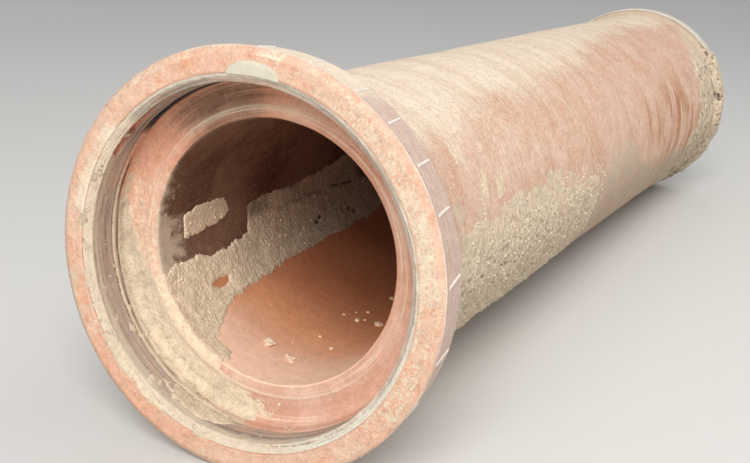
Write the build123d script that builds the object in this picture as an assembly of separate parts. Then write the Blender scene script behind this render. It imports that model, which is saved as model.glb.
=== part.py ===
"""Vitrified clay drain pipe, 15 inch bore: a barrel with a bell at one end and a spigot at
the other. The bell is lined with cast joint material, and the spigot carries a ring of the
same that fits the lining of the next pipe. All sizes are in millimetres.
"""
import math
import os

from build123d import *

# Barrel
length = 2134.0
bore_radius = 190.5
wall = 40.0
end_bevel = 3.0

# Cast ring on the spigot, from the spigot's end towards the bell
ring_setback = 12.0
ring_foot_rise = 8.5
ring_lead_in = 8.0
ring_rise = 15.5
ring_land = 32.0
ring_round = 2.0
groove_width = 5.0
groove_rise = 4.0
edge_band_width = 6.0
edge_band_rise = 7.0

# Cast lining in the bell, with its depths measured from the bell's face
joint_clearance = 1.5
lining_mouth_thickness = 12.5
lining_back_thickness = 6.5
lining_lip_depth = 7.5
lining_land = 43.5
lining_bevel = 1.0
joint_groove = 3.0

# Socket behind the lining, down to the bore
socket_inset = 1.5
socket_reach = 28.0
shoulder_round = 12.0
bore_bevel_width = 8.5
bore_bevel_depth = 4.0

# Outside of the bell, from its face backwards
face_width = 26.0
edge_width = 10.0
edge_depth = 7.0
edge_round = 6.0
ridge_width = 3.0
ridge_step = 1.5
collar_width = 59.5
collar_lean = 5.5
collar_step = 4.0
taper_length = 115.0
taper_round = 120.0

barrel_radius = bore_radius + wall
ring_radius = barrel_radius + ring_rise
lining_radius = ring_radius + joint_clearance
pocket_mouth_radius = lining_radius + lining_mouth_thickness
pocket_back_radius = lining_radius + lining_back_thickness
lining_depth = lining_lip_depth + lining_land
pocket_depth = lining_depth + joint_groove
socket_radius = lining_radius - socket_inset
shoulder_depth = pocket_depth + socket_reach
ridge_radius = pocket_mouth_radius + face_width + edge_width
ring_land_start = ring_setback + ring_lead_in
ring_land_end = ring_land_start + ring_land

# The pipe lies on the ridge of its bell and on the ring of its spigot.
lie_angle = math.degrees(
    math.atan2(
        ridge_radius - ring_radius,
        length - edge_depth - ridge_width - ring_land_start,
    )
)


def turned(points):
    """Solid of revolution about Z from (radius, height, corner rounding) points."""
    section = make_face(Polyline(*[(r, 0, h) for r, h, _ in points], close=True)).face()
    for r, h, rounding in points:
        if rounding:
            corner = section.vertices().sort_by_distance((r, 0, h))[0]
            section = section.fillet_2d(rounding, [corner])
    return revolve(section, Axis.Z)


def spigot_outline():
    return [
        (bore_radius, end_bevel, 0),
        (bore_radius + end_bevel, 0, 0),
        (barrel_radius - end_bevel, 0, 0),
        (barrel_radius, end_bevel, 0),
    ]


def bell_outline():
    """Outside of the bell, from the barrel up to the face."""
    ridge_top = length - edge_depth
    ridge_foot = ridge_top - ridge_width
    collar_top = ridge_foot - ridge_step
    collar_foot = collar_top - collar_width
    collar_radius = ridge_radius - ridge_step
    step_radius = collar_radius - collar_lean - collar_step
    taper_top = collar_foot - collar_step
    return [
        (barrel_radius, taper_top - taper_length, taper_round),
        (step_radius, taper_top, 0),
        (collar_radius - collar_lean, collar_foot, 0),
        (collar_radius, collar_top, 0),
        (ridge_radius, ridge_foot, 0),
        (ridge_radius, ridge_top, 0),
        (ridge_radius - edge_width, length, edge_round),
    ]


def socket_outline():
    """Inside of the bell, from the face down to the bore."""
    pocket_foot = length - pocket_depth
    shoulder = length - shoulder_depth
    return [
        (pocket_mouth_radius, length, 0),
        (pocket_back_radius, pocket_foot, 0),
        (socket_radius, pocket_foot, 0),
        (socket_radius, shoulder, shoulder_round),
        (bore_radius + bore_bevel_width, shoulder, 0),
        (bore_radius, shoulder - bore_bevel_depth, 0),
    ]


def pipe_body():
    return turned(spigot_outline() + bell_outline() + socket_outline())


def bell_lining():
    lip = length - lining_lip_depth
    foot = length - lining_depth
    slope = (pocket_mouth_radius - pocket_back_radius) / pocket_depth
    return turned([
        (pocket_mouth_radius, length, 0),
        (lining_radius, lip, 0),
        (lining_radius, foot + lining_bevel, 0),
        (lining_radius + lining_bevel, foot, 0),
        (pocket_mouth_radius - slope * lining_depth, foot, 0),
    ])


def spigot_ring():
    groove_start = ring_land_end + ring_round
    band_start = groove_start + groove_width
    band_end = band_start + edge_band_width
    return turned([
        (barrel_radius, ring_setback, 0),
        (barrel_radius + ring_foot_rise, ring_setback, 0),
        (ring_radius, ring_land_start, 0),
        (ring_radius, ring_land_end, ring_round),
        (barrel_radius + groove_rise, groove_start, 0),
        (barrel_radius + groove_rise, band_start, 0),
        (barrel_radius + edge_band_rise, band_start, 0),
        (barrel_radius + edge_band_rise, band_end, 0),
        (barrel_radius, band_end, 0),
    ])


def lying(solid):
    """The solid with the pipe on its side, the bell towards -X, on a level floor."""
    middle = length / 2
    centred = solid.moved(Location((0, 0, -middle)))
    tipped = centred.rotate(Axis.Y, lie_angle - 90)
    angle = math.radians(lie_angle)
    ridge_height = length - edge_depth - ridge_width - middle
    drop = ridge_radius * math.cos(angle) - ridge_height * math.sin(angle)
    return tipped.moved(Location((0, 0, drop)))


def main():
    os.makedirs("parts", exist_ok=True)
    solids = {
        "pipe_body": pipe_body(),
        "bell_lining": bell_lining(),
        "spigot_ring": spigot_ring(),
    }
    for name, solid in solids.items():
        placed = lying(solid)
        print(name, placed.is_valid, round(placed.volume), placed.bounding_box())
        export_step(placed, f"parts/{name}.step")


if __name__ == "__main__":
    main()
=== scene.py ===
"""Weathered clay drain pipe: dusty fired clay, a cast lining in its bell, a cast ring on its
spigot, and dried mud inside and out. Depths run from the bell's face towards the spigot,
and turns run from the top of the pipe towards -Y. All sizes are in metres.
"""
import math

import bmesh
import bpy
import numpy as np
from bpy.props import FloatProperty, FloatVectorProperty, IntProperty, PointerProperty
from mathutils import Euler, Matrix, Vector, noise


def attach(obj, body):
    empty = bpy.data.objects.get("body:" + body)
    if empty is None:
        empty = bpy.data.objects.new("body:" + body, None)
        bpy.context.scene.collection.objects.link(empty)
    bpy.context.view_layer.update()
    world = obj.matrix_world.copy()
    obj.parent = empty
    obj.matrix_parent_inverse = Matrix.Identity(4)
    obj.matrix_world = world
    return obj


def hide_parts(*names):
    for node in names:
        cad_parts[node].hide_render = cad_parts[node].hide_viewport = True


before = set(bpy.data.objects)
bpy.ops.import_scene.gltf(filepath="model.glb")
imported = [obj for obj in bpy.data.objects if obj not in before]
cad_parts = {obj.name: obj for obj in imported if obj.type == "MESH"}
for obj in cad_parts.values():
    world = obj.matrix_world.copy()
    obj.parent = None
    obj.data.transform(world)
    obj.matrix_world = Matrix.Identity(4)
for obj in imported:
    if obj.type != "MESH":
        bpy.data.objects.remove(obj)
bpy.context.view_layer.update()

bl_info = {
    "name": "Clay Drain Pipe",
    "version": (1, 0, 0),
    "blender": (4, 5, 0),
    "location": "View3D > Sidebar > Drain Pipe",
    "description": "Builds a weathered clay drain pipe with its joint lining, ring and mud",
    "category": "Object",
}

# The bell's section, as (radius, depth) corners and depths
RIDGE_FROM, RIDGE_TO = 0.007, 0.010
COLLAR_START = 0.2945, 0.0115
COLLAR_END = 0.289, 0.071
TAPER_START = 0.285, 0.075
TAPER_END = 0.190
POCKET_RADIUS, POCKET_DEPTH = 0.254, 0.054
SHOULDER_LAND = 0.0085
SINK = 0.0015

# The spigot ring's section, as distances from the pipe's end and heights over the barrel
RING_TIP, RING_FROM, RING_TO = 0.012, 0.020, 0.052
GROOVE_FROM, GROOVE_TO, RING_BACK = 0.054, 0.059, 0.065
TIP_HEIGHT, GROOVE_HEIGHT, BEAD_HEIGHT = 0.0085, 0.004, 0.007

# Where the barrel's own dust, mud and pits begin, and how deep a coat of mud still shows
BARREL_FROM = 0.08
COAT_CUT = -0.0012

CAMERA_AT = -2.4057, -0.8238, 0.7960
CAMERA_TURN = 74.25, -2.33, -64.26
CAMERA_LENS = 59.21
LAMPS = (
    ("key", 4.2, (-6.4, -2.5, 5.3), (-0.6, 0.0, 0.3)),
    ("fill", 2.6, (0.6, -2.2, 3.2), (0.4, 0.0, 0.2)),
    ("front", 1.6, (-4.7, -0.5, 2.1), (-0.9, 0.0, 0.15)),
)
FLOOR_REACH = 40


def size(name, default, description):
    return FloatProperty(
        name=name, default=default, description=description, unit="LENGTH", precision=4
    )


def colour(name, default, description):
    return FloatVectorProperty(
        name=name,
        default=default,
        description=description,
        subtype="COLOR_GAMMA",
        min=0,
        max=1,
    )


class PipeSizes(bpy.types.PropertyGroup):
    length: size("Length", 2.134, "From the bell's face to the end of the spigot")
    bore: size("Bore radius", 0.1905, "Inside of the barrel")
    wall: size("Wall", 0.040, "Thickness of the barrel")
    ridge: size("Ridge radius", 0.296, "Widest line of the bell")
    face: size("Face radius", 0.286, "Outer edge of the rough face")
    mouth: size("Mouth radius", 0.260, "Inner edge of the rough face")
    lining: size("Lining radius", 0.2475, "Inside of the cast lining")
    lining_depth: size("Lining depth", 0.051, "From the face to the back of the lining")
    shoulder: size("Shoulder depth", 0.082, "From the face to the shoulder in the socket")
    ring: size("Ring radius", 0.246, "Outside of the cast ring on the spigot")
    roughness: size("Face roughness", 0.0010, "How far the broken face goes in and out")
    waviness: size("Waviness", 0.0012, "How far the barrel strays from a true circle")
    segments: IntProperty(
        name="Segments", default=400, min=48, description="Faces round the pipe"
    )


class ClayColours(bpy.types.PropertyGroup):
    clay: colour("Clay", (0.845, 0.685, 0.60), "Fired clay on the outside")
    salmon: colour("Salmon", (0.87, 0.675, 0.56), "Broken clay on the bell's face")
    rose: colour("Rose", (0.80, 0.68, 0.625), "Smooth skin of the collar")
    deep: colour("Deep", (0.80, 0.51, 0.35), "Clean clay inside the bore")
    # The stain colour also gives the painted shade at the top of the bore and of the socket.
    stain: colour("Stain", (0.54, 0.41, 0.33), "Dark stain at the top of the bore")
    cream: colour("Cream", (0.93, 0.87, 0.77), "Pale dust on top of the clay")


class MudSettings(bpy.types.PropertyGroup):
    pale: colour("Pale mud", (0.83, 0.755, 0.655), "Dry mud")
    # Dark mud is also the painted shade in the hollows of the mud.
    dark: colour("Dark mud", (0.58, 0.50, 0.40), "Mud in hollows and cracks")
    crust: size("Crust thickness", 0.0034, "Thickest mud on the outside")
    band: size("Band thickness", 0.0040, "Thickest mud in the bore")
    grain: size("Grain", 0.0010, "Height of the lumps in the mud")


class JointColours(bpy.types.PropertyGroup):
    lining: colour("Lining", (0.68, 0.62, 0.57), "Cast joint material")
    chalk: colour("Chalk", (0.85, 0.82, 0.75), "Whitish edges of the joint material")
    # The tar colour is also the painted shade in grooves, in the lining and deep in the upper bore.
    tar: colour("Tar", (0.17, 0.18, 0.19), "Blue-black streaks in the grooves")


class RibSettings(bpy.types.PropertyGroup):
    thickness: size("Rib thickness", 0.0044, "Width of a mould rib on the collar")
    sides: IntProperty(name="Rib sides", default=6, min=3, description="Sides of a rib")


class CrumbSettings(bpy.types.PropertyGroup):
    smallest: size("Smallest", 0.0012, "Smallest crumb")
    largest: size("Largest", 0.0056, "Largest crumb")
    density: FloatProperty(
        name="Density", default=3000, min=0, description="Crumbs on a square metre of mud"
    )
    seed: IntProperty(name="Seed", default=4, description="Changes where the crumbs lie")


class StageSettings(bpy.types.PropertyGroup):
    floor: colour("Floor", (0.86, 0.85, 0.83), "Plain pale floor")
    sky: FloatProperty(name="Sky", default=0.5, min=0, description="Strength of the world")
    key: FloatProperty(name="Key", default=450, min=0, description="Power of the big lamp")
    fill: FloatProperty(name="Fill", default=34, min=0, description="Power of the side lamp")
    front: FloatProperty(name="Front", default=36, min=0, description="Power of the low lamp")


GROUPS = {
    "pipe_sizes": PipeSizes,
    "clay_colours": ClayColours,
    "mud_settings": MudSettings,
    "joint_colours": JointColours,
    "rib_settings": RibSettings,
    "crumb_settings": CrumbSettings,
    "stage_settings": StageSettings,
}


def settings(group):
    return getattr(bpy.context.scene, group)


def linked(name, data):
    """New object in the scene."""
    made = bpy.data.objects.new(name, data)
    bpy.context.scene.collection.objects.link(made)
    return made


def barrel_radius():
    pipe = settings("pipe_sizes")
    return pipe.bore + pipe.wall


def pipe_axis():
    """(tilt of the axis, height of its middle): the pipe lies on its ridge and its ring."""
    pipe = settings("pipe_sizes")
    tilt = math.atan2(pipe.ridge - pipe.ring, pipe.length - 0.030)
    ridge_height = pipe.length / 2 - 0.010
    return tilt, pipe.ridge * math.cos(tilt) - ridge_height * math.sin(tilt)


def place(depth, turn, radius):
    """Points in the frame from depths, turns in radians and radii, all of one shape."""
    tilt, middle = pipe_axis()
    back = settings("pipe_sizes").length / 2 - depth
    x = -math.cos(tilt) * back + radius * np.cos(turn) * math.sin(tilt)
    y = -radius * np.sin(turn)
    z = middle + math.sin(tilt) * back + radius * np.cos(turn) * math.cos(tilt)
    return np.stack([x, y, z], axis=-1)


def unit(vector):
    return vector / np.linalg.norm(vector)


def traced(corners, closed=False):
    """Points along an outline of (radius, depth, rounding, step) corners.

    The step is how far apart the points stand on the run that follows the corner."""
    spots = [np.array(corner[:2], dtype=float) for corner in corners]
    count = len(spots)
    arcs = []
    for i, (_, _, rounding, _) in enumerate(corners):
        here = spots[i]
        if not rounding or (not closed and i in (0, count - 1)):
            arcs.append([here])
            continue
        before = unit(spots[i - 1] - here)
        after = unit(spots[(i + 1) % count] - here)
        half = math.acos(np.clip(before @ after, -1, 1)) / 2
        centre = here + unit(before + after) * rounding / math.sin(half)
        start = here + before * rounding / math.tan(half) - centre
        end = here + after * rounding / math.tan(half) - centre
        sweep = math.pi - 2 * half
        pieces = max(2, math.ceil(sweep / math.radians(20)))
        shares = [k / pieces for k in range(pieces + 1)]
        arcs.append(
            [
                centre
                + (start * math.sin((1 - t) * sweep) + end * math.sin(t * sweep))
                / math.sin(sweep)
                for t in shares
            ]
        )
    points = []
    for i in range(count):
        points += arcs[i]
        if not closed and i == count - 1:
            break
        start, end = arcs[i][-1], arcs[(i + 1) % count][0]
        runs = max(1, round(float(np.linalg.norm(end - start)) / corners[i][3]))
        points += [start + (end - start) * k / runs for k in range(1, runs)]
    return np.array(points)


def facing(path, closed, flip):
    """(radius, depth) directions square to a path, to one side of it."""
    if closed:
        along = np.roll(path, -1, axis=0) - np.roll(path, 1, axis=0)
    else:
        along = np.gradient(path, axis=0)
    along = along / np.linalg.norm(along, axis=1, keepdims=True)
    square = np.stack([along[:, 1], -along[:, 0]], axis=1)
    return -square if flip else square


def sampled(points, wave, shift, value):
    """What value gives at each point, in a space where a wave is 1 long."""
    flat = points.reshape(-1, 3) / wave + shift
    return np.array([value(p) for p in map(Vector, flat)]).reshape(points.shape[:-1])


def wobble(points, wave, octaves=3, shift=0.0):
    """Smooth noise of about -1 to 1 at each point, with waves of that length."""
    return sampled(points, wave, shift, lambda p: noise.fractal(p, 0.9, 2.1, octaves))


def cells(points, wave):
    """0 at the middle of each noise cell and 1 on the lines between the cells."""

    def line(p):
        near = noise.voronoi(p)[0]
        return 1 - min(1, (near[1] - near[0]) * 2.2)

    return sampled(points, wave, 0.0, line)


def pebbles(points, wave, shift=0.0):
    """Rounded stones of about that size: 1 on top of each and 0 in the gaps between."""
    return np.clip(sampled(points, wave, shift, lambda p: 1 - 1.5 * noise.voronoi(p)[0][0]), 0, 1)


def rise(value, low, high):
    """0 below low, 1 above high, and smooth between. low may be the greater."""
    t = np.clip((value - low) / (high - low), 0, 1)
    return t * t * (3 - 2 * t)


def within(value, low, high, soft):
    """1 between low and high and 0 outside, with soft edges."""
    return rise(value, low - soft, low + soft) * rise(value, high + soft, high - soft)


def near(value, middle, width):
    """1 at the middle, falling off smoothly on both sides."""
    return np.exp(-(((value - middle) / width) ** 2))


def spot(depth, turn, at_depth, at_turn, long, wide):
    """1 at a place on the pipe, falling off smoothly. Turns are in degrees."""
    away = (turn - at_turn + 180) % 360 - 180
    return np.exp(-(((depth - at_depth) / long) ** 2) - (away / wide) ** 2)


def depth_inside(outline, depth, turn, radius):
    """How far inside a closed outline of (depth, turn in degrees) points each place is."""
    corners = np.array(outline, dtype=float)
    corners[:, 1] = np.radians(corners[:, 1]) * radius
    across = np.radians(turn) * radius
    nearest = np.full(depth.shape, 1e9)
    inside = np.zeros(depth.shape, dtype=bool)
    for (x0, y0), (x1, y1) in zip(corners, np.roll(corners, -1, axis=0)):
        run = np.array([x1 - x0, y1 - y0])
        t = ((depth - x0) * run[0] + (across - y0) * run[1]) / (run @ run)
        t = np.clip(t, 0, 1)
        gap = np.hypot(depth - x0 - t * run[0], across - y0 - t * run[1])
        nearest = np.minimum(nearest, gap)
        crosses = (y0 > across) != (y1 > across)
        if y1 != y0:
            inside ^= crosses & (depth < x0 + (across - y0) * run[0] / run[1])
    return np.where(inside, nearest, -nearest)


def blurred(values, reach):
    """Mean of a grid's values over a square of neighbours."""
    for axis in (0, 1):
        ends = [(reach, reach) if axis == k else (0, 0) for k in (0, 1)]
        total = np.cumsum(np.pad(values, ends, mode="edge"), axis=axis)
        total = np.insert(total, 0, 0, axis=axis)
        width = 2 * reach + 1
        count = total.shape[axis]
        upper = np.take(total, range(width, count), axis=axis)
        lower = np.take(total, range(count - width), axis=axis)
        values = (upper - lower) / width
    return values


def grid_object(name, points, out, rounds, closes, uv, masks, material, keep=None):
    """Object from a grid of points. out gives the way out of the surface at each point,
    rounds joins the last column to the first, closes joins the last row to the first, and
    masks are kept as attributes of the points."""
    rows, columns = points.shape[:2]
    index = np.arange(rows * columns).reshape(rows, columns)
    down = np.roll(index, -1, axis=0) if closes else index[1:]
    upper = index if closes else index[:-1]
    if rounds:
        right_upper, right_down = np.roll(upper, -1, axis=1), np.roll(down, -1, axis=1)
    else:
        right_upper, right_down = upper[:, 1:], down[:, 1:]
        upper, down = upper[:, :-1], down[:, :-1]
    quads = np.stack([upper, right_upper, right_down, down], axis=-1).reshape(-1, 4)
    if keep is not None:
        quads = quads[keep.reshape(-1)[quads].any(axis=1)]
    mesh = bpy.data.meshes.new(name)
    first = points.reshape(-1, 3)[quads]
    normals = np.cross(first[:, 2] - first[:, 0], first[:, 3] - first[:, 1])
    if (normals * out.reshape(-1, 3)[quads[:, 0]]).sum() < 0:
        quads = quads[:, ::-1]
    mesh.from_pydata(points.reshape(-1, 3), [], quads.tolist())
    places = np.zeros((rows * columns, 2))
    places[:, 0] = np.broadcast_to(uv[1], (rows, columns)).reshape(-1)
    places[:, 1] = np.broadcast_to(uv[0], (rows, columns)).reshape(-1)
    corners = places[quads]
    for axis, full in ((0, rounds), (1, closes)):
        if full:
            wraps = np.ptp(corners[:, :, axis], axis=1) > 0.5
            corners[wraps, :, axis] += corners[wraps, :, axis] < 0.5
    layer = mesh.uv_layers.new(name="UVMap")
    layer.data.foreach_set("uv", corners.reshape(-1))
    for mask, values in masks.items():
        attribute = mesh.attributes.new(mask, "FLOAT", "POINT")
        attribute.data.foreach_set("value", values.reshape(-1).astype(np.float32))
    mesh.shade_smooth()
    mesh.materials.append(material)
    if keep is not None:
        trim(mesh)
    mesh.update()
    return linked(name, mesh)


def trim(mesh):
    """Takes out the points that no face uses."""
    work = bmesh.new()
    work.from_mesh(mesh)
    loose = [v for v in work.verts if not v.link_faces]
    bmesh.ops.delete(work, geom=loose, context="VERTS")
    work.to_mesh(mesh)
    work.free()


def swept(path, turns):
    """Grids of depth, turn and radius for a (radius, depth) path taken through some turns."""
    shape = len(path), len(turns)
    return [np.broadcast_to(grid, shape) for grid in (path[:, 1:2], turns[None, :], path[:, 0:1])]


def lifted(depth, turn, radius, square, lift):
    """Points of a swept path, moved that far square to the surface."""
    return place(depth + square[:, 1:2] * lift, turn, radius + square[:, 0:1] * lift)


def turned_piece(name, corners, shape, paint, material):
    """Closed ring of an outline all round the pipe. shape gives how far each point moves
    square to the surface, and paint the masks."""
    path = traced(corners, closed=True)
    columns = settings("pipe_sizes").segments
    turns = np.linspace(0, 2 * math.pi, columns, endpoint=False)
    depth, turn, radius = swept(path, turns)
    square = facing(path, True, True)
    points = place(depth, turn, radius)
    degrees = (np.degrees(turn) + 180) % 360 - 180
    moved = lifted(depth, turn, radius, square, shape(depth, degrees, radius, square, points))
    masks = {"depth": depth, "radius": radius, **paint(depth, degrees, radius, square, points)}
    steps = np.linalg.norm(np.diff(path, axis=0, append=path[:1]), axis=1)
    down = np.concatenate([[0], np.cumsum(steps)[:-1]]) / steps.sum()
    uv = (down[:, None], turns[None, :] / (2 * math.pi))
    out = lifted(depth, turn, radius, square, 1) - points
    return grid_object(name, moved, out, True, True, uv, masks, material)


def coat(name, path, flip, first, last, columns, height, paint, material):
    """Dirt on the pipe: a sheet over a path swept from one turn to another, lifted by
    height. Where height is below nothing the sheet lies inside the clay and is cut."""
    depth, degrees, radius = swept(path, np.linspace(first, last, columns))
    turn = np.radians(degrees)
    square = facing(path, False, flip)
    points = place(depth, turn, radius)
    lift = height(depth, degrees, radius, points)
    masks = {"lift": lift * 1000, "lump": np.clip((lift - blurred(lift, 3)) * 1400, -2, 2)}
    masks.update(paint(depth, degrees, radius, points))
    uv = (np.linspace(0, 1, len(path))[:, None], np.linspace(0, 0.99, columns)[None, :])
    moved = lifted(depth, turn, radius, square, lift)
    out = lifted(depth, turn, radius, square, 1) - points
    return grid_object(name, moved, out, False, False, uv, masks, material, lift > COAT_CUT)


def deliver(piece, slot, *nodes):
    """Hands a finished piece to the frame."""
    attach(piece, "root")
    if nodes:
        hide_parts(*nodes)


def linear(rgb):
    """A screen colour as the shader's numbers."""
    return tuple(
        c / 12.92 if c <= 0.04045 else ((c + 0.055) / 1.055) ** 2.4 for c in rgb
    ) + (1.0,)


def tinted(rgb, *factors):
    """A screen colour with each of its parts times its own factor."""
    return [part * factor for part, factor in zip(rgb, factors)]


class Nodes:
    """Short ways to add nodes to the tree of a material, of a group or of a piece."""

    def __init__(self, tree):
        self.tree = tree

    def set(self, socket, value):
        """Links a socket or sets its value. A colour of three parts is a screen colour."""
        if isinstance(value, bpy.types.NodeSocket):
            self.tree.links.new(value, socket)
        elif value is not None:
            screen = socket.type == "RGBA" and len(value) == 3
            socket.default_value = linear(value) if screen else value

    def add(self, kind, modes=None, **inputs):
        """New node with its modes and inputs set. An input's name has _ for each space."""
        made = self.tree.nodes.new(kind)
        for mode, value in (modes or {}).items():
            setattr(made, mode, value)
        for name, value in inputs.items():
            self.set(made.inputs[name.replace("_", " ")], value)
        return made

    def math(self, operation, *values, kind="ShaderNodeMath", **modes):
        """Result of an operation on numbers, or on vectors with ShaderNodeVectorMath."""
        made = self.add(kind, {"operation": operation, **modes})
        for socket, value in zip(made.inputs, values):
            self.set(socket, value)
        return made.outputs[0]

    def times(self, first, *others):
        for other in others:
            first = self.math("MULTIPLY", first, other)
        return first

    def plus(self, first, *others):
        for other in others:
            first = self.math("ADD", first, other)
        return first

    def remap(self, value, low, high, to_low=0.0, to_high=1.0):
        """Smooth change from to_low to to_high as the value goes from low to high."""
        made = self.add(
            "ShaderNodeMapRange",
            {"interpolation_type": "SMOOTHSTEP"},
            Value=value,
            From_Min=low,
            From_Max=high,
            To_Min=to_low,
            To_Max=to_high,
        )
        return made.outputs["Result"]

    def mix(self, share, first, second, blend="MIX"):
        made = self.add("ShaderNodeMix", {"data_type": "RGBA", "blend_type": blend}, Factor=share)
        colours = [s for s in made.inputs if s.type == "RGBA"]
        self.set(colours[0], first)
        self.set(colours[1], second)
        return next(s for s in made.outputs if s.type == "RGBA")

    def noise(self, vector, scale, detail=4.0, rough=0.6, warp=0.0):
        shape = {"Scale": scale, "Detail": detail, "Roughness": rough, "Distortion": warp}
        return self.add("ShaderNodeTexNoise", Vector=vector, **shape).outputs["Fac"]

    def voronoi(self, vector, scale):
        return self.add("ShaderNodeTexVoronoi", Vector=vector, Scale=scale).outputs["Distance"]

    def mask(self, name):
        """One of the piece's own attributes."""
        return self.add("ShaderNodeAttribute", {"attribute_name": name}).outputs["Fac"]

    def stretched(self, vector, scale):
        return self.math("MULTIPLY", vector, scale, kind="ShaderNodeVectorMath")

    def streaks(self, at, fine, coarse):
        """Noise drawn out round the pipe, from the depth and radius attributes."""
        flat = self.add(
            "ShaderNodeCombineXYZ",
            X=self.times(self.mask("depth"), fine),
            Y=self.times(self.mask("radius"), fine),
        )
        round_pipe = self.stretched(at, (coarse, coarse, coarse))
        total = self.math("ADD", flat.outputs[0], round_pipe, kind="ShaderNodeVectorMath")
        return self.noise(total, 1.0, 5.0, 0.62)

    def group(self, name, **inputs):
        tree = {"node_tree": bpy.data.node_groups[name]}
        return self.add("ShaderNodeGroup", tree, **inputs).outputs


def new_group(name, inputs, outputs, kind="ShaderNodeTree"):
    """(nodes, input sockets, output sockets) of a new node group."""
    tree = bpy.data.node_groups.new(name, kind)
    for label, sort, *default in inputs:
        socket = tree.interface.new_socket(label, in_out="INPUT", socket_type=sort)
        if default:
            socket.default_value = default[0]
    for label, sort in outputs:
        tree.interface.new_socket(label, in_out="OUTPUT", socket_type=sort)
    entry = tree.nodes.new("NodeGroupInput")
    leave = tree.nodes.new("NodeGroupOutput")
    return Nodes(tree), entry.outputs, leave.inputs


FLOAT, VECTOR, COLOUR = "NodeSocketFloat", "NodeSocketVector", "NodeSocketColor"
WHOLE, MATERIAL, GEOMETRY = "NodeSocketInt", "NodeSocketMaterial", "NodeSocketGeometry"


def patches_group():
    """Ragged patches: a soft amount becomes a mask with a broken edge."""
    shader, given, out = new_group(
        "Patches",
        [
            ("Vector", VECTOR),
            ("Amount", FLOAT, 0.5),
            ("Scale", FLOAT, 30.0),
            ("Softness", FLOAT, 0.12),
        ],
        [("Mask", FLOAT)],
    )
    rag = shader.noise(given["Vector"], given["Scale"], 7.0, 0.68)
    total = shader.plus(rag, shader.math("MULTIPLY_ADD", given["Amount"], 1.3, -0.65))
    low = shader.math("SUBTRACT", 0.5, given["Softness"])
    high = shader.plus(0.5, given["Softness"])
    shader.set(out["Mask"], shader.remap(total, low, high))


def grit_group():
    """Sandy grain: a tint to shade a colour with and a height for a bump."""
    shader, given, out = new_group(
        "Grit",
        [("Vector", VECTOR), ("Scale", FLOAT, 400.0), ("Strength", FLOAT, 0.3)],
        [("Tint", COLOUR), ("Height", FLOAT)],
    )
    fine = shader.noise(given["Vector"], given["Scale"], 5.0, 0.7)
    broad = shader.noise(given["Vector"], shader.math("DIVIDE", given["Scale"], 5.0))
    both = shader.plus(shader.times(fine, 0.6), shader.times(broad, 0.4))
    swing = shader.times(shader.math("SUBTRACT", both, 0.5), given["Strength"])
    bright = shader.plus(shader.times(swing, 2.2), 1.0)
    grey = shader.add("ShaderNodeCombineColor", Red=bright, Green=bright, Blue=bright)
    shader.set(out["Tint"], grey.outputs[0])
    shader.set(out["Height"], both)


def dust_group():
    """Lays dust of one colour over another in ragged patches, wide and close ones."""
    shader, given, out = new_group(
        "Dust",
        [
            ("Vector", VECTOR),
            ("Colour", COLOUR),
            ("Dust Colour", COLOUR),
            ("Amount", FLOAT, 0.5),
            ("Scale", FLOAT, 18.0),
            ("Cover", FLOAT, 0.9),
        ],
        [("Colour", COLOUR), ("Mask", FLOAT)],
    )
    shares = []
    for fineness, softness in ((1.0, 0.24), (9.0, 0.13)):
        patches = shader.group(
            "Patches",
            Vector=given["Vector"],
            Amount=given["Amount"],
            Scale=shader.times(given["Scale"], fineness),
            Softness=softness,
        )
        shares.append(shader.times(patches["Mask"], 0.5))
    mask = shader.math("MULTIPLY", shader.plus(*shares), given["Cover"], use_clamp=True)
    shader.set(out["Colour"], shader.mix(mask, given["Colour"], given["Dust Colour"]))
    shader.set(out["Mask"], mask)


def new_material(name):
    """(material, its nodes, where a place is on the object) of a new, empty material."""
    material = bpy.data.materials.new(name)
    material.use_nodes = True
    material.node_tree.nodes.clear()
    shader = Nodes(material.node_tree)
    return material, shader, shader.add("ShaderNodeTexCoord").outputs["Object"]


def finish_material(shader, base, roughness, height, distance, specular=0.25):
    normal = None
    if height is not None:
        bump = shader.add("ShaderNodeBump", Strength=1.0, Distance=distance, Height=height)
        normal = bump.outputs["Normal"]
    surface = shader.add(
        "ShaderNodeBsdfPrincipled",
        Base_Color=base,
        Roughness=roughness,
        Specular_IOR_Level=specular,
        Normal=normal,
    )
    shader.add("ShaderNodeOutputMaterial", Surface=surface.outputs["BSDF"])


def tar_and_shade_mask(shader, streak):
    """Blue-black tar and painted shade, broken up by streaks."""
    black = shader.math("MULTIPLY_ADD", shader.mask("tar"), 1.1, shader.times(streak, 1.6))
    return shader.remap(black, 1.3, 1.9)


def broken_clay(shader, spot_at, broad, fleck):
    """Colour of the bell's face: salmon clay with embers, dusty flecks and dark grains."""
    salmon = settings("clay_colours").salmon
    base = shader.mix(shader.remap(broad, 0.38, 0.58), salmon, tinted(salmon, 1, 1.06, 1.10))
    ember = shader.remap(shader.noise(spot_at, 48.0, 5.0, 0.7), 0.50, 0.68, 0.0, 0.8)
    base = shader.mix(ember, base, tinted(salmon, 0.95, 0.88, 0.82))
    crusted = shader.math("MULTIPLY_ADD", shader.mask("dust"), 0.34, fleck)
    base = shader.mix(shader.remap(crusted, 0.59, 0.66), base, (0.87, 0.795, 0.69))
    grain = shader.remap(shader.noise(spot_at, 300.0, 4.0, 0.7), 0.56, 0.66)
    return shader.mix(shader.times(grain, shader.mask("pitted")), base, (0.62, 0.47, 0.36))


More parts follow.
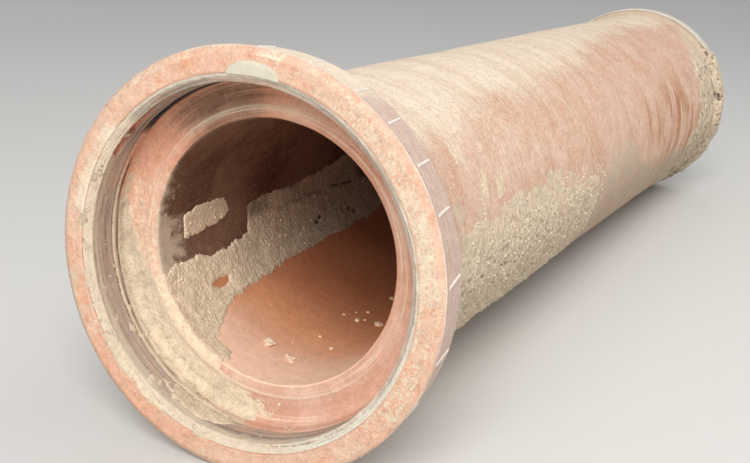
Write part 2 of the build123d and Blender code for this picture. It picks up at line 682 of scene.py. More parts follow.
def stained_and_shaded(shader, spot_at, broad, streak, base):
    """A colour under the dark stain and painted shade of the bore and the socket, which has paler
    specks.
    """
    stain = settings("clay_colours").stain
    dark_stain_and_shade = shader.mix(shader.remap(broad, 0.35, 0.7), stain, tinted(stain, 0.72, 0.62, 0.60))
    specks = shader.remap(shader.noise(spot_at, 230.0, 5.0, 0.75), 0.53, 0.66, 0.0, 0.6)
    dark_stain_and_shade = shader.mix(shader.times(specks, shader.mask("stain")), dark_stain_and_shade, (0.70, 0.57, 0.46))
    offset = shader.math("SUBTRACT", streak, 1.0)
    amount = shader.math("MULTIPLY_ADD", shader.mask("stain"), 1.5, offset)
    return shader.mix(shader.remap(amount, 0.0, 0.55), base, dark_stain_and_shade)


def pale_marks(shader, spot_at, fleck):
    """Mask of the cream flecks and of the thin scratches round the pipe."""
    flecks = shader.times(shader.mask("flecked"), shader.remap(fleck, 0.48, 0.58))
    scratch = shader.remap(shader.streaks(spot_at, 900.0, 38.0), 0.53, 0.63)
    scratch = shader.times(shader.mask("flecked"), scratch)
    return shader.times(shader.math("MAXIMUM", shader.times(flecks, 0.6), scratch), 0.75)


def fired_clay():
    """Fired clay with its dust, mud film, dark stain and painted shade, painted light on the bore's
    floor, painted highlights, rose collar and broken face.
    """
    hues, mud = settings("clay_colours"), settings("mud_settings")
    material, shader, spot_at = new_material("fired_clay_weathered")
    mask = shader.mask
    broad = shader.noise(spot_at, 9.0, 5.0, 0.6, 0.4)
    burnt = tinted(hues.clay, 0.96, 0.90, 0.86)
    base = shader.mix(shader.remap(broad, 0.35, 0.65), hues.clay, burnt)
    burnt = tinted(hues.deep, 0.94, 0.89, 0.86)
    deep = shader.mix(shader.remap(broad, 0.3, 0.7), hues.deep, burnt)
    base = shader.mix(mask("deep"), base, deep)
    # Painted light: the bore's floor near the mouth is lightened where light falls on it.
    bleached = shader.remap(mask("bleached"), 0.42, 0.78)
    light = shader.mix(bleached, (1.0, 0.74, 0.55), (1.0, 0.83, 0.71))
    base = shader.mix(mask("bleached"), base, light)
    rose = shader.group("Patches", Vector=spot_at, Amount=mask("rose"), Scale=60.0, Softness=0.3)
    base = shader.mix(rose["Mask"], base, hues.rose)
    blotch = shader.times(shader.noise(spot_at, 26.0, 4.0, 0.6, 0.3), 0.20)
    fleck = shader.noise(spot_at, 210.0, 6.0, 0.75, 0.4)
    fleck = shader.math("MULTIPLY_ADD", fleck, 0.80, blotch)
    base = shader.mix(mask("rough"), base, broken_clay(shader, spot_at, broad, fleck))
    streak = shader.streaks(spot_at, 320.0, 9.0)
    # Stain and painted shade at the top of the bore and of the socket.
    base = stained_and_shaded(shader, spot_at, broad, streak, base)
    # Cream marks, with painted highlights along the ridge and on the beads.
    wiped = shader.times(mask("wiped"), shader.remap(streak, 0.45, 0.68))
    base = shader.mix(wiped, base, hues.cream)
    dusty = shader.group(
        "Dust",
        Vector=spot_at,
        Colour=base,
        Dust_Colour=hues.cream,
        Amount=mask("dust"),
        Scale=14.0,
        Cover=0.85,
    )
    marked = shader.mix(pale_marks(shader, spot_at, fleck), dusty["Colour"], hues.cream)
    runs = shader.noise(shader.stretched(spot_at, (17.0, 4.0, 4.0)), 1.0, 6.0, 0.65)
    runs = shader.times(shader.remap(runs, 0.44, 0.60), mask("runs"))
    # Painted shade: the mud film is darker on the barrel's lower side, by the low mask.
    muddy = shader.group(
        "Dust",
        Vector=spot_at,
        Colour=shader.mix(runs, marked, (0.73, 0.52, 0.38)),
        Dust_Colour=shader.mix(mask("low"), mud.pale, tinted(mud.pale, 0.84, 0.84, 0.84)),
        Amount=mask("mud"),
        Scale=22.0,
        Cover=0.9,
    )
    grit = shader.group("Grit", Vector=spot_at, Scale=330.0, Strength=0.50)
    pits = shader.remap(shader.voronoi(spot_at, 150.0), 0.30, 0.10)
    pit = shader.times(pits, mask("pitted"))
    base = shader.mix(shader.times(pit, 0.45), muddy["Colour"], mud.dark)
    # Tar, and painted shade in grooves and deep in the upper bore.
    base = shader.mix(tar_and_shade_mask(shader, streak), base, settings("joint_colours").tar)
    base = shader.mix(1.0, base, grit["Tint"], "MULTIPLY")
    face = shader.times(shader.noise(spot_at, 210.0, 6.0, 0.7), mask("rough"), 1.6)
    film = shader.times(muddy["Mask"], 0.5)
    height = shader.plus(grit["Height"], face, shader.times(mask("lines"), 0.8), film)
    height = shader.math("SUBTRACT", height, shader.times(pit, 0.6))
    smooth = shader.remap(mask("rose"), 0.2, 0.9, 0.88, 0.62)
    finish_material(shader, base, smooth, height, 0.0012)
    return material


def dried_mud():
    """Dry mud, paler where it is thick, with painted shade in its hollows, and with painted shade
    and painted light from its shade and light masks.
    """
    mud = settings("mud_settings")
    material, shader, spot_at = new_material("dried_mud")
    mask = shader.mask
    grit = shader.group("Grit", Vector=spot_at, Scale=520.0, Strength=0.85)
    # Painted shade in the hollows between lumps; darker too where the mud is thin.
    lump = shader.remap(mask("lump"), -1.3, -0.2)
    thick = shader.times(lump, shader.remap(mask("lift"), -1.2, 0.3))
    base = shader.mix(thick, mud.dark, [min(1, part * 1.03) for part in mud.pale])
    cloud = shader.remap(shader.noise(spot_at, 28.0, 6.0, 0.65), 0.5, 0.72, 0.0, 0.6)
    base = shader.mix(cloud, base, (0.88, 0.84, 0.75))
    base = shader.mix(mask("light"), base, (0.95, 0.865, 0.735))
    base = shader.mix(shader.times(mask("warm"), 0.7), base, settings("clay_colours").clay)
    # Painted shade from the shade mask, with dark drip streaks added.
    drip = shader.remap(shader.streaks(spot_at, 210.0, 4.0), 0.56, 0.44)
    drip = shader.times(mask("drips"), drip, 0.55)
    shade = shader.math("ADD", shader.times(mask("shade"), 0.8), drip, use_clamp=True)
    base = shader.mix(shade, base, (0.30, 0.24, 0.18))
    base = shader.mix(1.0, base, grit["Tint"], "MULTIPLY")
    lumps = shader.times(shader.voronoi(spot_at, 240.0), 0.8)
    finish_material(shader, base, 0.95, shader.plus(grit["Height"], lumps), 0.0014, 0.1)
    return material


def cast_joint():
    """Cast joint material, chalky along its edges, with blue-black tar and painted shade in its
    grooves.
    """
    hues, mud = settings("joint_colours"), settings("mud_settings")
    material, shader, spot_at = new_material("cast_joint_weathered")
    mask = shader.mask
    cloud = shader.remap(shader.noise(spot_at, 22.0, 5.0, 0.6, 0.5), 0.35, 0.65)
    base = shader.mix(cloud, hues.lining, tinted(hues.lining, 1.08, 0.98, 0.95))
    chalk = shader.group("Patches", Vector=spot_at, Amount=mask("chalk"), Scale=70.0, Softness=0.15)
    base = shader.mix(chalk["Mask"], base, hues.chalk)
    streak = shader.streaks(spot_at, 420.0, 10.0)
    base = shader.mix(shader.remap(streak, 0.54, 0.70, 0.0, 0.55), base, hues.chalk)
    grimy = tinted(hues.lining, 0.55, 0.50, 0.44)
    base = shader.mix(shader.remap(streak, 0.46, 0.32, 0.0, 0.7), base, grimy)
    film = shader.math("MULTIPLY_ADD", mask("mud"), 1.1, shader.times(streak, 1.5))
    film = shader.remap(film, 1.05, 1.65, 0.0, 0.92)
    base = shader.mix(film, base, mud.pale)
    # Tar and painted shade in the grooves and at the lining's back.
    base = shader.mix(tar_and_shade_mask(shader, streak), base, hues.tar)
    grit = shader.group("Grit", Vector=spot_at, Scale=380.0, Strength=0.45)
    base = shader.mix(1.0, base, grit["Tint"], "MULTIPLY")
    base = shader.mix(mask("bare"), base, (0.80, 0.50, 0.38))
    speck = shader.remap(shader.noise(spot_at, 260.0, 4.0, 0.7), 0.60, 0.68, 0.0, 0.55)
    base = shader.mix(speck, base, mud.dark)
    edges = shader.times(chalk["Mask"], 0.3)
    height = shader.plus(grit["Height"], shader.times(film, 0.6), edges)
    finish_material(shader, base, 0.7, height, 0.0008, 0.3)
    return material


def old_plaster():
    """Hard pale plaster."""
    material, shader, spot_at = new_material("old_plaster")
    grit = shader.group("Grit", Vector=spot_at, Scale=320.0, Strength=0.25)
    base = shader.mix(shader.noise(spot_at, 60.0), (0.76, 0.72, 0.64), (0.82, 0.795, 0.72))
    base = shader.mix(1.0, base, grit["Tint"], "MULTIPLY")
    finish_material(shader, base, 0.9, grit["Height"], 0.0006, 0.15)
    return material


def pale_clay(name, colour):
    """Plain pale clay, for small raised pieces."""
    material, shader, spot_at = new_material(name)
    grit = shader.group("Grit", Vector=spot_at, Scale=320.0, Strength=0.25)
    base = shader.mix(1.0, colour, grit["Tint"], "MULTIPLY")
    finish_material(shader, base, 0.8, grit["Height"], 0.0004, 0.25)
    return material


def rib_clay():
    """Whitish clay of the mould ribs."""
    return pale_clay("rib_clay", (0.93, 0.88, 0.84))


def clod_clay():
    """Dry sandy clods."""
    return pale_clay("clod_clay", (0.95, 0.86, 0.75))


def crumb_clay():
    """Sandy crumbs on the crust."""
    return pale_clay("crumb_clay", (0.85, 0.80, 0.70))


def material_named(name):
    """The finish of that name, made the first time that it is asked for."""
    made = {
        "fired_clay_weathered": fired_clay,
        "dried_mud": dried_mud,
        "cast_joint_weathered": cast_joint,
        "old_plaster": old_plaster,
        "rib_clay": rib_clay,
        "clod_clay": clod_clay,
        "crumb_clay": crumb_clay,
    }
    if "Patches" not in bpy.data.node_groups:
        patches_group()
        grit_group()
        dust_group()
    return bpy.data.materials.get(name) or made[name]()


def body_corners():
    """Section of the clay: the spigot's end, the outside, the face, the socket, the bore."""
    pipe = settings("pipe_sizes")
    barrel, end = barrel_radius(), pipe.length
    socket = pipe.lining - SINK
    return [
        (pipe.bore, end, 0.003, 0.006),
        (barrel, end, 0.003, 0.027),
        (barrel, TAPER_END, 0.120, 0.010),
        (*TAPER_START, 0.002, 0.002),
        (*COLLAR_END, 0.0015, 0.0036),
        (*COLLAR_START, 0.0006, 0.0008),
        (pipe.ridge, RIDGE_TO, 0.0007, 0.0010),
        (pipe.ridge, RIDGE_FROM, 0.0010, 0.0022),
        (pipe.face, 0.0, 0.006, 0.0024),
        (pipe.mouth, 0.0, 0.0008, 0.009),
        (POCKET_RADIUS, POCKET_DEPTH, 0.0004, 0.003),
        (socket, POCKET_DEPTH, 0.0008, 0.004),
        (socket, pipe.shoulder, 0.012, 0.0030),
        (pipe.bore + SHOULDER_LAND, pipe.shoulder, 0.003, 0.003),
        (pipe.bore, pipe.shoulder + 0.004, 0.004, 0.005),
        (pipe.bore, 0.120, 0, 0.020),
        (pipe.bore, 0.400, 0, 0.120),
    ]


def body_zones(depth, radius, square):
    """Masks of the main areas: outside, face, socket and bore."""
    pipe = settings("pipe_sizes")
    middle = (pipe.bore + barrel_radius()) / 2
    socket = (depth < pipe.shoulder + 0.012) & (radius < pipe.mouth)
    socket &= square[:, 0:1] < 0.9
    bore = (radius < middle) & (depth > pipe.shoulder + 0.003)
    face = (depth < 0.002) & (radius > pipe.mouth - 0.001)
    outside = ~(socket | bore) & (square[:, 0:1] > 0.3)
    return outside, face, socket, bore


def body_shape(depth, turn, radius, square, points):
    """Rough face, wavy barrel, beads in the socket and chips on the bell's edge."""
    pipe = settings("pipe_sizes")
    outside, _, socket, bore = body_zones(depth, radius, square)
    rough = within(radius, 0.2615, 0.2845, 0.0015) * (depth < 0.003)
    rough = rough + 0.5 * outside * (depth < 0.0065)
    grain = wobble(points, 0.009, 3) + 0.6 * wobble(points, 0.028, 2, 7)
    lift = rough * pipe.roughness * grain
    lift = lift - rough * 0.0006 * cells(points, 0.007)
    barrel = outside * rise(depth, 0.09, 0.20) * rise(depth, pipe.length - 0.09, pipe.length - 0.12)
    lift = lift + barrel * pipe.waviness * wobble(points, 0.30, 2)
    flat = socket * (square[:, 1:2] < -0.9)
    beads = 0.0016 * within(radius, 0.2010, 0.2095, 0.0015)
    beads = beads + 0.0010 * near(radius, 0.2165, 0.0018)
    beads = beads - 0.0008 * near(radius, 0.2260, 0.0025)
    lift = lift + flat * beads * (1 + 0.4 * wobble(points, 0.08, 2))
    lift = lift + (socket | bore) * 0.0004 * wobble(points, 0.05, 2)
    edge = within(depth, 0.0, 0.006, 0.002) * (radius > 0.284)
    chips = rise(wobble(points, 0.013, 2, 4), 0.25, 0.6)
    return lift + edge * (0.0006 * wobble(points, 0.02, 3) - 0.0007 * chips)


def mud_edge(left, points):
    """Radius down to which the shoulder is muddy, by how far left of the top a place is."""
    return 0.2030 + 0.036 * rise(left, 116, 76) + 0.003 * wobble(points, 0.03, 3, 4)


def body_paint(depth, turn, radius, square, points):
    """Masks for dust, mud film, stain, tar, painted shade, painted light, painted highlights and
    the other finishes of the clay.
    """
    outside, face, socket, bore = body_zones(depth, radius, square)
    away = np.abs(turn)
    left = (-turn) % 360 + 10 * wobble(points, 0.04, 3, 9)
    cream_to = 32 - 18 * rise(depth, 0.8, 1.5) + 6 * wobble(points, 0.14, 4)
    dust = outside * (0.30 + 0.45 * rise(away, cream_to + 22, cream_to - 16))
    dust += outside * 0.10 * within(depth, 0.09, 0.5, 0.06) * rise(away, 80, 50)
    smears = spot(depth, turn, 0.34, 42, 0.015, 7) + spot(depth, turn, 0.30, 56, 0.013, 7)
    side_dust = within(depth, 0.42, 0.95, 0.1) * within(turn, 44, 78, 10)
    dust += outside * (0.13 * smears + 0.11 * side_dust)
    dust *= 1 - 0.55 * outside * rise(depth, 0.080, 0.070) * rise(away, 32, 44)
    patchy = rise(wobble(points, 0.07, 3, 12), 0.05, 0.5)
    dust += face * (0.10 + 0.32 * spot(depth, turn, 0, 75, 1, 48) + 0.09 * patchy)
    dust += face * 0.22 * rise(radius, 0.265, 0.262) * within(left, 60, 200, 20)
    dust += face * 0.34 * rise(radius, 0.282, 0.272) * within(left, 50, 82, 9)
    outer_half = face * rise(radius, 0.266, 0.271)
    dust += outer_half * 0.16 * spot(depth, turn, 0, 112, 1, 5)
    dust -= outer_half * 0.26 * spot(depth, turn, 0, 96, 1, 8)
    dust *= 1 - 0.70 * outside * (depth < 0.0085)
    dust += outside * (depth < 0.0085) * 0.22 * patchy
    dust += socket * (0.30 + 0.2 * spot(depth, turn, 0.08, -110, 1, 60))
    crust_from = 84 + 7 * wobble(points, 0.10, 4) + 16 * rise(depth, 1.18, 1.6)
    crust_from -= 9 * within(depth, 0.98, 1.22, 0.08)
    film = 0.60 - 0.18 * rise(depth, 1.2, 1.6) + 0.16 * wobble(points, 0.05, 3, 13)
    barrel = outside * (depth > BARREL_FROM)
    mud = barrel * film * rise(away, crust_from - 8, crust_from + 14)
    tongue = rise(turn, 58, 76) * within(depth, 0.10, 0.34, 0.05)
    mud += outside * (0.46 + 0.40 * wobble(points, 0.035, 4, 2)) * tongue * (turn < 110)
    clots = spot(depth, turn, 0.235, 54, 0.016, 8) + spot(depth, turn, 0.338, 68, 0.014, 7)
    clots += spot(depth, turn, 0.395, 73, 0.018, 6) + spot(depth, turn, 0.59, 41, 0.05, 4)
    mud += outside * 0.62 * clots * (1 + 0.9 * wobble(points, 0.03, 4, 3))
    mud += outside * 0.30 * rise(depth, 1.1, 1.9) * rise(away, 40, 80)
    mud += outside * 0.6 * rise(depth, 1.84, 1.98) * rise(away, 20, 60)
    mud += outside * 0.44 * rise(depth, 1.93, 2.03) * rise(away, 110, 60)
    far_streaks = spot(depth, turn, 1.61, 79, 0.05, 9) + spot(depth, turn, 1.755, 83, 0.04, 9)
    far_streaks += 0.7 * spot(depth, turn, 1.40, 85, 0.08, 10)
    runs = 0.9 * far_streaks + 0.18 + 0.6 * rise(depth, 1.1, 1.6) * rise(away, 50, 72)
    runs = outside * (depth > 0.09) * runs
    low_left = within(left, 72, 176, 14)
    edge = mud_edge(left, points)
    low_film = 0.25 + 0.42 * rise(radius, edge - 0.006, edge + 0.006)
    mud += socket * (depth < 0.0855) * low_film * low_left
    mud += bore * (0.28 * within(turn, -130, -84, 5) + 0.06 * rise(depth, 0.26, 0.09))
    speckled = 1 + 1.6 * wobble(points, 0.010, 3, 5)
    mud += bore * 0.16 * rise(depth, 0.21, 0.10) * within(turn, -125, -40, 14) * speckled
    mud += bore * 0.24 * rise(depth, 0.16, 0.09) * within(turn, -112, -62, 10)
    rim_mud = 0.42 * within(left, 92, 118, 7) * (1 + 0.9 * wobble(points, 0.02, 3, 6))
    mud += rim_mud * (face * rise(radius, 0.270, 0.279) + outside * (depth < 0.012))
    # Stain and painted shade: the top of the bore darkens further in, and the top of the socket is
    # shaded.
    depth_share = 0.72 + 0.28 * rise(depth, 0.10, 0.22)
    stain = bore * np.where(turn < 0, rise(-turn, 122, 104), rise(away, 112, 84)) * depth_share
    shaded = 0.62 * within(turn, -46, 0, 16) + 0.22 * within(turn, -76, -46, 14)
    shaded += 0.16 * within(turn, 0, 62, 18)
    stain += socket * shaded * rise(radius, 0.262, 0.235)
    # Tar and painted shadow in the groove behind the lining, and dark dirt on the upper shoulder.
    tar = within(depth, 0.0505, 0.0665, 0.002) * within(left, 6, 54, 9)
    tar = np.maximum(tar, 0.72 * within(depth, 0.0550, 0.0660, 0.0030) * within(left, 60, 158, 14))
    tar = np.maximum(tar, 0.35 * within(radius, 0.206, 0.222, 0.004) * within(turn, -46, -8, 12))
    # Painted shade deep in the upper bore.
    upper_bore_shade = 0.80 * rise(depth, 0.22, 0.50) * rise(away, 76, 44)
    collar = 0.45 + 0.45 * rise(away, 25, 34)
    rough = face * rise(radius, 0.2603, 0.2627)
    rim = outside * (depth < 0.009) * rise(depth, 0.0066, 0.0050)
    rough = np.maximum(rough, rim)
    rose = outside * np.where(depth < 0.0072, 0.60, collar) * (depth < 0.074) * (1 - rough)
    pocket = (radius > 0.2535) & (depth < 0.0545) & socket
    # Pale wiped marks with painted highlights: pale beads on the shoulder, partly painted
    # highlight, a cream smear by the lining, painted highlights along the ridge's edges, and pale
    # streaks on the collar.
    wiped = socket * 0.60 * within(radius, 0.199, 0.2115, 0.002)
    smear = within(radius, 0.2370, 0.2455, 0.0015) * within(left, 120, 196, 10)
    wiped = wiped + socket * (depth > 0.07) * 0.85 * smear
    wiped = wiped + outside * 2.2 * near(depth, 0.0080, 0.0014)
    wiped = wiped + outside * 0.30 * within(depth, 0.0140, 0.070, 0.002)
    wiped = wiped + outside * 2.0 * near(depth, 0.0125, 0.0016)
    pitted = outside * (0.25 + 0.75 * rise(away, cream_to + 30, cream_to))
    pitted = pitted * (depth > BARREL_FROM) + face * (0.12 + 0.38 * within(turn, 24, 150, 12))
    # Painted shade on the barrel's lower side.
    low = barrel * rise(away, 72, 112) * rise(turn, 0, 10)
    right_half = rise(turn, 0, 10)
    # Painted light on the bore's floor near the mouth.
    floor_light = bore * (0.62 * rise(depth, 0.52, 0.20) + 0.38 * rise(depth, 0.24, 0.12))
    grooves = np.zeros_like(depth)
    for at, width in ((0.019, 0.0012), (0.030, 0.0010), (0.047, 0.0012)):
        grooves -= 0.6 * near(depth, at, width)
    deep = socket * (0.5 - 0.16 * right_half) * rise(away, 150, 60)
    return {
        "dust": np.clip(dust * (1 - pocket), 0, 1),
        "mud": np.clip(mud * (1 - pocket), 0, 1),
        "wiped": wiped,
        "low": low,
        "runs": runs,
        "bleached": floor_light * rise(away, 108 - 12 * right_half, 140 - 12 * right_half),
        "pitted": np.clip(pitted, 0, 1),
        "stain": np.clip(stain, 0, 1),
        "tar": np.where(bore, upper_bore_shade, socket * tar * (radius < 0.2535)),
        "rose": np.clip(rose, 0, 1),
        "rough": rough,
        "deep": np.clip((bore | pocket) + deep, 0, 1),
        "lines": outside * grooves * (depth < BARREL_FROM),
        "flecked": outside * np.where(depth > BARREL_FROM, 1.0, 0.45) + 0.12 * socket,
    }


def lining_corners():
    """Section of the lining: its lip, its inside, its foot and its back in the pocket."""
    pipe = settings("pipe_sizes")
    foot = pipe.lining_depth
    return [
        (pipe.mouth + 0.0005, 0.0003, 0.001, 0.0016),
        (pipe.lining, 0.0075, 0.002, 0.0022),
        (pipe.lining, foot, 0.001, 0.003),
        (0.2548, foot, 0.0006, 0.010),
    ]


LINING_CHIP = [(0.010, -59), (0.012, -48), (0.020, -37), (0.030, -39), (0.033, -51), (0.023, -61)]


def in_chip(depth, turn, points):
    """How far inside the lining's broken-out place each point is."""
    return depth_inside(LINING_CHIP, depth, turn, 0.25) + 0.002 * wobble(points, 0.015, 3)


def lining_shape(depth, turn, radius, square, points):
    """Uneven inside, a broken lip and the chip."""
    inner = (square[:, 0:1] < -0.3) * 1.0
    lift = inner * 0.0005 * wobble(points, 0.03, 3)
    lip = within(depth, 0.0, 0.009, 0.001) * inner
    lift = lift - lip * 0.0010 * rise(wobble(points, 0.012, 3), 0.05, 0.5)
    return lift - inner * 0.0082 * rise(in_chip(depth, turn, points), -0.0005, 0.0025)


def lining_paint(depth, turn, radius, square, points):
    """Masks for chalk, tar and painted shade, mud and bare clay on the lining."""
    lip = within(depth, 0.0, 0.0035, 0.0012) + 0.8 * within(depth, 0.0075, 0.0100, 0.0012)
    left = (-turn) % 360 + 12 * wobble(points, 0.05, 3, 9)
    upper = within(left, 12, 62, 14)
    # Darker lining at the top, in a low band and towards the foot: partly grime, partly painted
    # shade.
    dark = 0.62 * rise(depth, 0.018, 0.034) * upper
    dark = np.maximum(dark, 0.62 * within(depth, 0.016, 0.036, 0.006) * within(left, 146, 236, 18))
    dark = np.maximum(dark, 0.60 * (depth > 0.002) * within(left, 8, 52, 14))
    dark = np.maximum(dark, 0.30 * (depth > 0.002) * within(left, 8, 100, 20))
    dark = np.maximum(dark, 0.55 * rise(depth, 0.046, 0.0505))
    broken = 0.30 * wobble(points, 0.012, 3, 6)
    sandy = (0.34 + broken) * rise(depth, 0.018, 0.008) + 0.16 * within(depth, 0.012, 0.024, 0.004)
    mud = 0.36 + (0.10 + sandy) * within(left, 40, 196, 24)
    lip = np.maximum(lip, 0.7 * within(depth, 0.013, 0.021, 0.002) * within(left, 50, 250, 16))
    low = rise(depth, 0.040, 0.024) * within(left, 118, 256, 18)
    low += 0.6 * within(depth, 0.010, 0.018, 0.003) * within(left, 140, 205, 14)
    return {
        "chalk": np.clip(0.78 * lip + 0.50 * low, 0, 1),
        "tar": np.clip(dark, 0, 1),
        "mud": np.clip(mud, 0, 1),
        "bare": rise(in_chip(depth, turn, points), -0.0008, 0.0006),
    }


def ring_corners():
    """Section of the ring: its tip, its outside, its groove and its back edge."""
    barrel, ring, end = barrel_radius(), settings("pipe_sizes").ring, settings("pipe_sizes").length
    inner = barrel - SINK
    return [
        (inner, end - RING_TIP, 0.0, 0.004),
        (barrel + TIP_HEIGHT, end - RING_TIP, 0.001, 0.003),
        (ring, end - RING_FROM, 0.0015, 0.003),
        (ring, end - RING_TO, 0.002, 0.003),
        (barrel + GROOVE_HEIGHT, end - GROOVE_FROM, 0.0006, 0.002),
        (barrel + GROOVE_HEIGHT, end - GROOVE_TO, 0.0006, 0.002),
        (barrel + BEAD_HEIGHT, end - GROOVE_TO, 0.0010, 0.002),
        (barrel + BEAD_HEIGHT, end - RING_BACK, 0.0012, 0.002),
        (inner, end - RING_BACK, 0.0, 0.02),
    ]


def ring_shape(depth, turn, radius, square, points):
    """Fine cracks and unevenness on the ring's outside."""
    outer = (square[:, 0:1] > 0.3) * (radius > barrel_radius())
    return outer * (0.0003 * wobble(points, 0.02, 3) - 0.0006 * cells(points, 0.03))


def ring_paint(depth, turn, radius, square, points):
    """Masks for chalk, tar and painted shade, and mud on the ring."""
    barrel, end = barrel_radius(), settings("pipe_sizes").length
    # Tar and painted shade in the ring's groove.
    groove = within(depth, end - 0.0595, end - 0.0535, 0.001) * (radius < barrel + 0.0055)
    groove = groove * (0.15 + 0.85 * within(turn, 24, 66, 8))
    inland = (depth < end - 0.050) * rise(radius, barrel + 0.0105, barrel + 0.0075)
    top = within(turn, -75, 48, 14)
    chalk = within(radius, barrel + 0.012, 0.25, 0.002) * (0.70 + 0.28 * top)
    mud = 0.25 + 0.55 * rise(turn, 45, 80) * rise(turn, 175, 150) + 0.2 * rise(-turn, 60, 100)
    mud = np.maximum(mud, 0.85 * inland)
    return {
        "chalk": chalk,
        "bare": np.zeros_like(depth),
        "tar": np.clip(0.85 * groove, 0, 1),
        "mud": np.clip(mud, 0, 1) * (1 - 0.5 * groove),
    }


CRUST = [
    (0.100, 128), (0.108, 108), (0.135, 97), (0.195, 92), (0.216, 83), (0.246, 79.5), (0.316, 78),
    (0.377, 81), (0.437, 76.5), (0.557, 77.5), (0.601, 76.5), (0.635, 73.5), (0.740, 76.5),
    (0.840, 78), (0.910, 78), (0.955, 84), (0.975, 94), (0.970, 115), (0.910, 140),
    (0.700, 158), (0.400, 165), (0.160, 150),
]
BAND = [
    (0.060, -108), (0.159, -105), (0.241, -107.6), (0.286, -105.8), (0.324, -103.4),
    (0.334, -91), (0.377, -87), (0.488, -88), (0.623, -84), (0.688, -80), (1.0, -78),
    (1.5, -83), (2.2, -88), (2.2, -118), (1.5, -115), (0.822, -119), (0.666, -123),
    (0.532, -124.5), (0.436, -125), (0.337, -128.5), (0.270, -130), (0.216, -133),
    (0.150, -142), (0.128, -147), (0.124, -156), (0.104, -160), (0.086, -157), (0.060, -158),
]
PATCH = [
    (0.149, -85), (0.191, -82), (0.261, -82), (0.275, -90.5), (0.240, -95),
    (0.190, -97), (0.149, -96.5),
]
RING_HOLES = (
    (2.062, 80.5), (2.073, 82.2), (2.079, 84.0), (2.056, 84.6), (2.036, 85.4), (2.03, 62),
    (1.900, 88.5), (1.912, 90), (2.000, 101.7), (2.090, 113), (2.100, 115),
    (1.777, 106), (1.790, 108),
)
HOLES = ((0.547, -113), (0.560, -111), (0.675, -113), (0.690, -115))
BARE = [(0.190, -121.8), (0.208, -120), (0.236, -121), (0.232, -123), (0.205, -124.2)]


def ring_splits(depth, turn, points):
    """1 in the crack and the hollows of the crust by the ring."""
    split_at = 2.050 + 0.005 * wobble(points, 0.03, 2, 8)
    split = near(depth, split_at, 0.0055) * within(turn, 65, 79, 2)
    return np.maximum(split, hollows(RING_HOLES, depth, turn))


def hollows(places, depth, turn):
    """1 at each of some (depth, turn in degrees) places."""
    found = np.zeros_like(depth)
    for at_depth, at_turn in places:
        found = np.maximum(found, spot(depth, turn, at_depth, at_turn, 0.0075, 1.6))
    return found


def mud_tongues(depth, turn):
    """Narrow runs of mud above the crust, 1 along their middles."""
    leaning = depth + 0.0019 * (turn - 70)
    runs = spot(leaning, turn, 0.331, 70, 0.018, 10) + spot(leaning, turn, 0.398, 71, 0.018, 7)
    return runs + 0.9 * spot(depth, turn, 0.281, 53.5, 0.015, 5)


def outer_crust_height(depth, turn, radius, points):
    """Lumpy crust on the barrel's lower right, with tongues above it."""
    mud = settings("mud_settings")
    reach = depth_inside(CRUST, depth, turn, barrel_radius())
    tongues = mud_tongues(depth, turn)
    reach = np.maximum(reach, 0.034 * (tongues - 0.42))
    reach = reach + 0.014 * wobble(points, 0.05, 4) + 0.005 * wobble(points, 0.012, 2, 3)
    cover = rise(reach, -0.006, 0.012)
    full = (0.15 + 0.85 * rise(reach, 0.0, 0.075)) * (0.35 + 0.65 * rise(depth, 0.14, 0.30))
    full = np.maximum(full, 0.4 * rise(tongues, 0.3, 0.7)) * (0.3 + 0.7 * rise(depth, 0.97, 0.84))
    body = 0.30 + 0.70 * np.clip(0.5 + 0.8 * wobble(points, 0.045, 3, 5), 0, 1)
    stones = 1.3 * pebbles(points, 0.012) + 0.8 * pebbles(points, 0.0065, 5.0)
    lumps = mud.grain * (stones - 0.9 + 0.9 * wobble(points, 0.022, 3, 6))
    clots = 0.0026 * rise(wobble(points, 0.030, 2, 9), 0.15, 0.6) * pebbles(points, 0.009, 2.0)
    lift = full * (mud.crust * body + clots) + 1.5 * lumps * (0.3 + 0.7 * full)
    return cover * lift - 0.0022 * (1 - cover)


